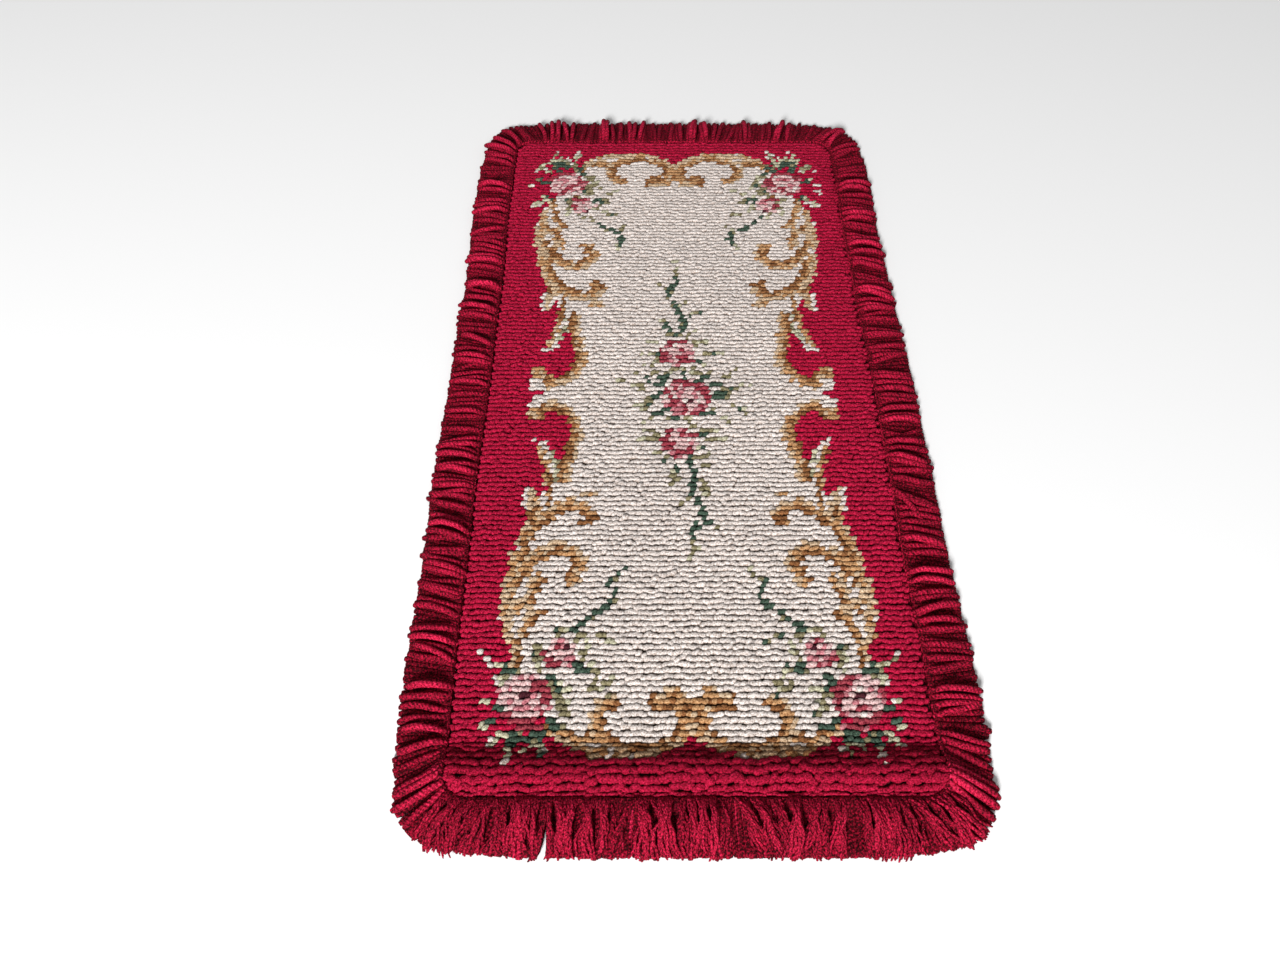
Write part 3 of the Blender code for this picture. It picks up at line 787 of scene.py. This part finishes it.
def slow_wave(s, wavelength, seed):
    """Uneven wave from -1 to 1 along the trim."""
    bend = 1.5 * np.sin(2 * np.pi * s / (wavelength * 3.1) + seed)
    bend = bend + 1.6 * np.sin(2 * np.pi * s / (wavelength * 7.7) + 2.2 * seed)
    first = np.sin(2 * np.pi * s / wavelength + 1.7 * seed + bend)
    return 0.72 * first + 0.28 * np.sin(2 * np.pi * s / (wavelength * 1.73) + 2.9 * seed)


def parting(heading, s):
    """Turn of the near cords away from a small parting, near the left of that end."""
    from_parting = s - PARTING_AT
    fading = np.exp(-np.abs(from_parting) / PARTING_REACH)
    return (math.sin(heading) < -0.5) * np.sign(from_parting) * PARTING_TURN * fading


def fan(s, side_end):
    """How far each cord is into a corner's fan, from 0 to 1, and its turn in that fan."""
    corner = np.maximum(np.abs(s) - (side_end - FAN_LENGTH), 0) / FAN_LENGTH
    return corner, np.sign(s) * np.pi / 4 * corner ** FAN_POWER


def cord_lines(heading, cords, thick, ridge, lean, swing, rough, seed, rings=CORD_RINGS, offset=0.0):
    """Middle lines of the cords along one side, and the level direction across each."""
    heading, shuffle = math.radians(heading), np.random.default_rng(seed)
    side_end = half_run(heading)
    s = (np.arange(cords) + 0.5 + offset) * 2 * side_end / cords - side_end
    pleat = slow_wave(s, PLEAT_LENGTH, seed)
    bunch = 0.62 + 0.38 * slow_wave(s, BUNCH_LENGTH, seed + 3)
    lift = ridge * np.clip(0.46 + 0.80 * pleat, 0, 1) * np.clip(bunch, 0.30, 1)
    corner, tilt = fan(s, side_end)
    swung = lean + swing * np.sin(2 * np.pi * s / SWING_LENGTH + 0.8)
    tilt = tilt + np.radians(swung) * (1 - corner)
    ruffled = 10.0 * slow_wave(s, 0.052, seed + 5) + 5.0 * slow_wave(s, 0.021, seed + 8)
    tilt = tilt + np.radians(ruffled + shuffle.normal(0, 2.0, cords)) * rough
    frayed = (shuffle.normal(0, 0.0018, cords) + 0.0024 * slow_wave(s, 0.024, seed + 6)) * rough
    reach = CORD_REACH - 0.0008 + frayed - RIDGE_PULL * lift
    unruly = (shuffle.random(cords) < UNRULY_SHARE) * (rough > 0.9)
    own_turn = unruly * np.radians(shuffle.normal(0, UNRULY_TURN, cords))
    tilt = tilt + own_turn + parting(heading, s)
    lift = lift + unruly * UNRULY_LIFT
    t = np.linspace(0, 1, rings)[None, :]
    root_x, root_y = trim_place(heading, s, SEAM_GAP + 0.0010)
    out_x, out_y = np.cos(heading + tilt)[:, None], np.sin(heading + tilt)[:, None]
    wander = shuffle.normal(0, 0.0010 * rough, (cords, 1)) * np.sin(np.pi * t)
    wander = wander + shuffle.normal(0, 0.0006 * rough, (cords, 1)) * np.sin(2 * np.pi * t)
    run = reach[:, None] * t
    x = root_x[:, None] + out_x * run - out_y * wander
    y = root_y[:, None] + out_y * run + out_x * wander
    droop = 1 - 0.62 * np.clip((t - 0.60) / 0.40, 0, 1) ** 1.5
    climb = np.sin(np.pi * np.minimum(t / 0.38, 1) / 2) * droop
    root_height = roll_lift(root_x, root_y)[:, None] * (1 - t) ** 2 + ROOT_LIFT * (1 - t) ** 4
    stray = shuffle.uniform(0, 0.0008 * rough, (cords, 1)) * t
    z = root_height + lift[:, None] * climb + thick + stray
    across = np.stack([-out_y, out_x, np.zeros_like(out_x)], -1)
    return np.stack([x, y, z], -1), np.broadcast_to(across, (cords, rings, 3))


def spun(line, across, thick, sides, shuffle):
    """Round cords about their middle lines: points, faces and the traits that draw their plies."""
    count, rings = line.shape[:2]
    t = np.linspace(0, 1, rings)[None, :]
    tangent = np.gradient(line, axis=1)
    run = np.cumsum(np.linalg.norm(tangent, axis=-1), axis=1)
    tangent /= np.linalg.norm(tangent, axis=-1, keepdims=True)
    up = np.cross(across, tangent)
    up *= np.where(up[..., 2:] < 0, -1, 1)
    theta = np.arange(sides) * 2 * np.pi / sides
    tip = 1 - 0.40 * np.exp(-((1 - t) / 0.04) ** 2)
    ends = tip * (0.90 + 0.10 * np.minimum(t / 0.2, 1)) * (1 + 0.14 * t)
    radius = (thick * (1 + shuffle.normal(0, 0.06, (count, 1))) * ends)[..., None, None]
    level_part = np.cos(theta)[:, None] * across[:, :, None, :]
    points = radius * (level_part + np.sin(theta)[:, None] * up[:, :, None, :])
    points = points + line[:, :, None, :]
    points[..., 2] = np.maximum(points[..., 2], 0.0002)
    corner = np.arange(sides)
    band = np.stack([corner, (corner + 1) % sides, (corner + 1) % sides + sides, corner + sides], -1)
    wall = (band[None] + np.arange(rings - 1)[:, None, None] * sides).reshape(-1, 4)
    half = np.arange(sides // 2 - 1)
    cap = np.stack([half, half + 1, sides - 2 - half, sides - 1 - half], -1)
    each = np.concatenate([wall, cap[:, ::-1], cap + (rings - 1) * sides])
    faces = (each[None] + np.arange(count)[:, None, None] * rings * sides).reshape(-1, 4)
    shape = (count, rings, sides)
    start = shuffle.uniform(0, 6.28, (count, 1, 1))
    traits = {
        "tone": np.broadcast_to(np.clip(shuffle.normal(0.5, 0.2, (count, 1, 1)), 0, 1), shape),
        "rise": np.ones(shape),
        "run": np.broadcast_to(run[..., None], shape),
        "ply_cos": np.broadcast_to(np.cos(2 * theta + start), shape),
        "ply_sin": np.broadcast_to(np.sin(2 * theta + start), shape),
    }
    return points.reshape(-1, 3), faces, {trait: values.ravel() for trait, values in traits.items()}


# Tape profile: share of its width out from the seam, and share of its height
TAPE_PROFILE = ((0, 0), (0, 0.62), (0.15, 0.92), (0.45, 1), (0.8, 0.8), (1, 0.3), (1, 0))
TAPE_STEP = 0.0022


def heading_tape(heading):
    """Low rounded tape along the seam that the cords grow out of."""
    heading = math.radians(heading)
    side_end = half_run(heading)
    s = np.linspace(-side_end, side_end, 2 * int(side_end / TAPE_STEP))
    rows = []
    for share, height in TAPE_PROFILE:
        x, y = trim_place(heading, s, SEAM_GAP + HEADING_WIDTH * share)
        bead = 1 + 0.10 * np.sin(2 * np.pi * s / (2 * TAPE_STEP)) * (height > 0.5)
        rows.append(np.stack([x, y, roll_lift(x, y) + 0.0002 + HEADING_HEIGHT * height * bead], -1))
    points = np.stack(rows, 1)
    count = len(rows)
    corner = np.arange(count)
    band = np.stack([corner, (corner + 1) % count, (corner + 1) % count + count, corner + count], -1)
    wall = (band[None] + np.arange(len(s) - 1)[:, None, None] * count).reshape(-1, 4)
    cap = np.array([(0, 1, 5, 6), (1, 2, 4, 5)])
    faces = np.concatenate([wall[:, ::-1], cap, cap[:, ::-1] + (len(s) - 1) * count])
    whole = np.ones(len(s) * count)
    # The tape gets a fixed painted light a little below full, so it is painted somewhat into shade
    traits = {"tone": whole * 0.4, "rise": whole * 0.75, "run": np.repeat(s, count) * 2,
              "ply_cos": whole, "ply_sin": whole * 0}
    return points.reshape(-1, 3), faces, traits


def joined(parts):
    """One mesh's points, faces and traits from several."""
    points, faces, traits, start = [], [], {}, 0
    for part_points, part_faces, part_traits in parts:
        points.append(part_points)
        faces.append(part_faces + start)
        start += len(part_points)
        for trait, values in part_traits.items():
            traits.setdefault(trait, []).append(values)
    traits = {trait: np.concatenate(values) for trait, values in traits.items()}
    return np.concatenate(points), np.concatenate(faces), traits


# Along the near end the cords have come untwisted: the loosened strands hang over the cords in
# tangled locks that droop from the roll to the floor and curl at their tips.
STRANDS = 560
STRAND_RINGS = 15
STRAND_THICK = 0.00145
STRAND_REACH = 0.0525
LOCK_WIDTH = 0.0105


def loose_strands(heading, seed):
    heading, shuffle = math.radians(heading), np.random.default_rng(seed)
    side_end = half_run(heading)
    s = (np.arange(STRANDS) + shuffle.uniform(0, 1, STRANDS)) * 2 * side_end / STRANDS - side_end
    lock_widths = shuffle.uniform(0.55, 1.45, int(3 * side_end / LOCK_WIDTH)) * LOCK_WIDTH
    edges = np.cumsum(lock_widths) - side_end
    lock = np.searchsorted(edges, s)
    middles = (np.concatenate([[-side_end], edges[:-1]]) + edges) / 2
    each_lock = shuffle.normal(0, 1, (5, len(edges)))
    t = np.linspace(0, 1, STRAND_RINGS)[None, :]
    middle, tilt, swell, curl, longer = middles[lock], *(values[lock] for values in each_lock[:4])
    clear = np.abs(s - PARTING_AT) > PARTING_HALF
    own_lean = np.radians(9.0 * tilt + shuffle.normal(0, 4.0, STRANDS)) * clear
    lean = fan(s, side_end)[1] + own_lean + parting(heading, s)
    gathering = np.sin(np.pi * np.clip(t * 1.25, 0, 1)) ** 1.5
    gathered = s[:, None] + (middle - s)[:, None] * 0.75 * gathering
    root_x, root_y = trim_place(heading, gathered, SEAM_GAP + 0.0008)
    reach = (STRAND_REACH + 0.0013 * longer + shuffle.normal(0, 0.0016, STRANDS))[:, None]
    run = reach * t ** 1.08
    layer = shuffle.uniform(0, 1, (STRANDS, 1))
    waves = shuffle.uniform(1.6, 3.4, (STRANDS, 1))
    phase = shuffle.uniform(0, 6.28, (STRANDS, 1))
    sway = 0.0011 * np.sin(2 * np.pi * waves * t + phase) * np.minimum(t * 4, 1)
    curling = 0.0035 * curl[:, None] + shuffle.normal(0, 0.0018, (STRANDS, 1))
    sway = sway + curling * np.clip((t - 0.62) / 0.38, 0, 1) ** 2
    out_x, out_y = np.cos(heading + lean)[:, None], np.sin(heading + lean)[:, None]
    x = root_x + out_x * run - out_y * sway
    y = root_y + out_y * run + out_x * sway
    edge_height = roll_lift(root_x[:, :1], root_y[:, :1]) + 0.0050
    arch = 1 - t ** 2.2
    bulge = (0.0045 + 0.0022 * swell[:, None]) * np.sin(np.pi * np.clip(t * 0.9 + 0.1, 0, 1))
    ripple = 0.0007 * np.cos(2 * np.pi * waves * t + phase)
    z = edge_height * arch + bulge + 0.0042 * layer * np.minimum(t * 3, 1) + ripple + 0.0018
    z = np.maximum(z, STRAND_THICK * 1.1)
    across = np.stack([-out_y, out_x, np.zeros_like(out_x)], -1)
    across = np.broadcast_to(across, (STRANDS, STRAND_RINGS, 3))
    points, faces, traits = spun(np.stack([x, y, z], -1), across, STRAND_THICK, 4, shuffle)
    # Painted shade: strands lower in the tangle are painted darker
    over = 0.50 * layer + 0.50 * np.clip(0.5 + 0.5 * swell[:, None], 0, 1)
    traits["rise"] = ((0.16 + 0.74 * over) * np.ones((1, STRAND_RINGS * 4))).ravel()
    return points, faces, traits


for side, row in TRIM_SIDES.items():
    trim = dict(zip(TRIM_COLUMNS, row))
    shuffle = np.random.default_rng(trim["seed"] + 100)
    line, across = cord_lines(**trim)
    cords = spun(line, across, trim["thick"], CORD_SIDES, shuffle)
    # Painted shade: cords low in the folds between ridges are painted darker, less so near their
    # roots
    height = np.clip((cords[0][:, 2] - 0.002) / (trim["ridge"] + 0.004), 0, 1)
    along = np.repeat(np.tile(np.linspace(0, 1, CORD_RINGS), trim["cords"]), CORD_SIDES)
    cords[2]["rise"] *= np.maximum(0.14 + 0.92 * height ** 1.25, 0.72 * (1 - along) ** 6)
    flat_trim = {**trim, "ridge": 0.0, "thick": UNDER_THICK, "rough": 0.2}
    under, across = cord_lines(**flat_trim, rings=UNDER_RINGS, offset=0.5)
    below = spun(under, across, UNDER_THICK, UNDER_SIDES, shuffle)
    # Painted shade: the cords underneath are painted darker
    below[2]["rise"] *= 0.25
    parts = [cords, below, heading_tape(trim["heading"])]
    if side == "near":
        parts.append(loose_strands(trim["heading"], 12))
    points, faces, traits = joined(parts)
    fringe = add_piece(f"cords_{side}", points, faces, trim_finish, traits)
    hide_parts(f"fringe_{side}")
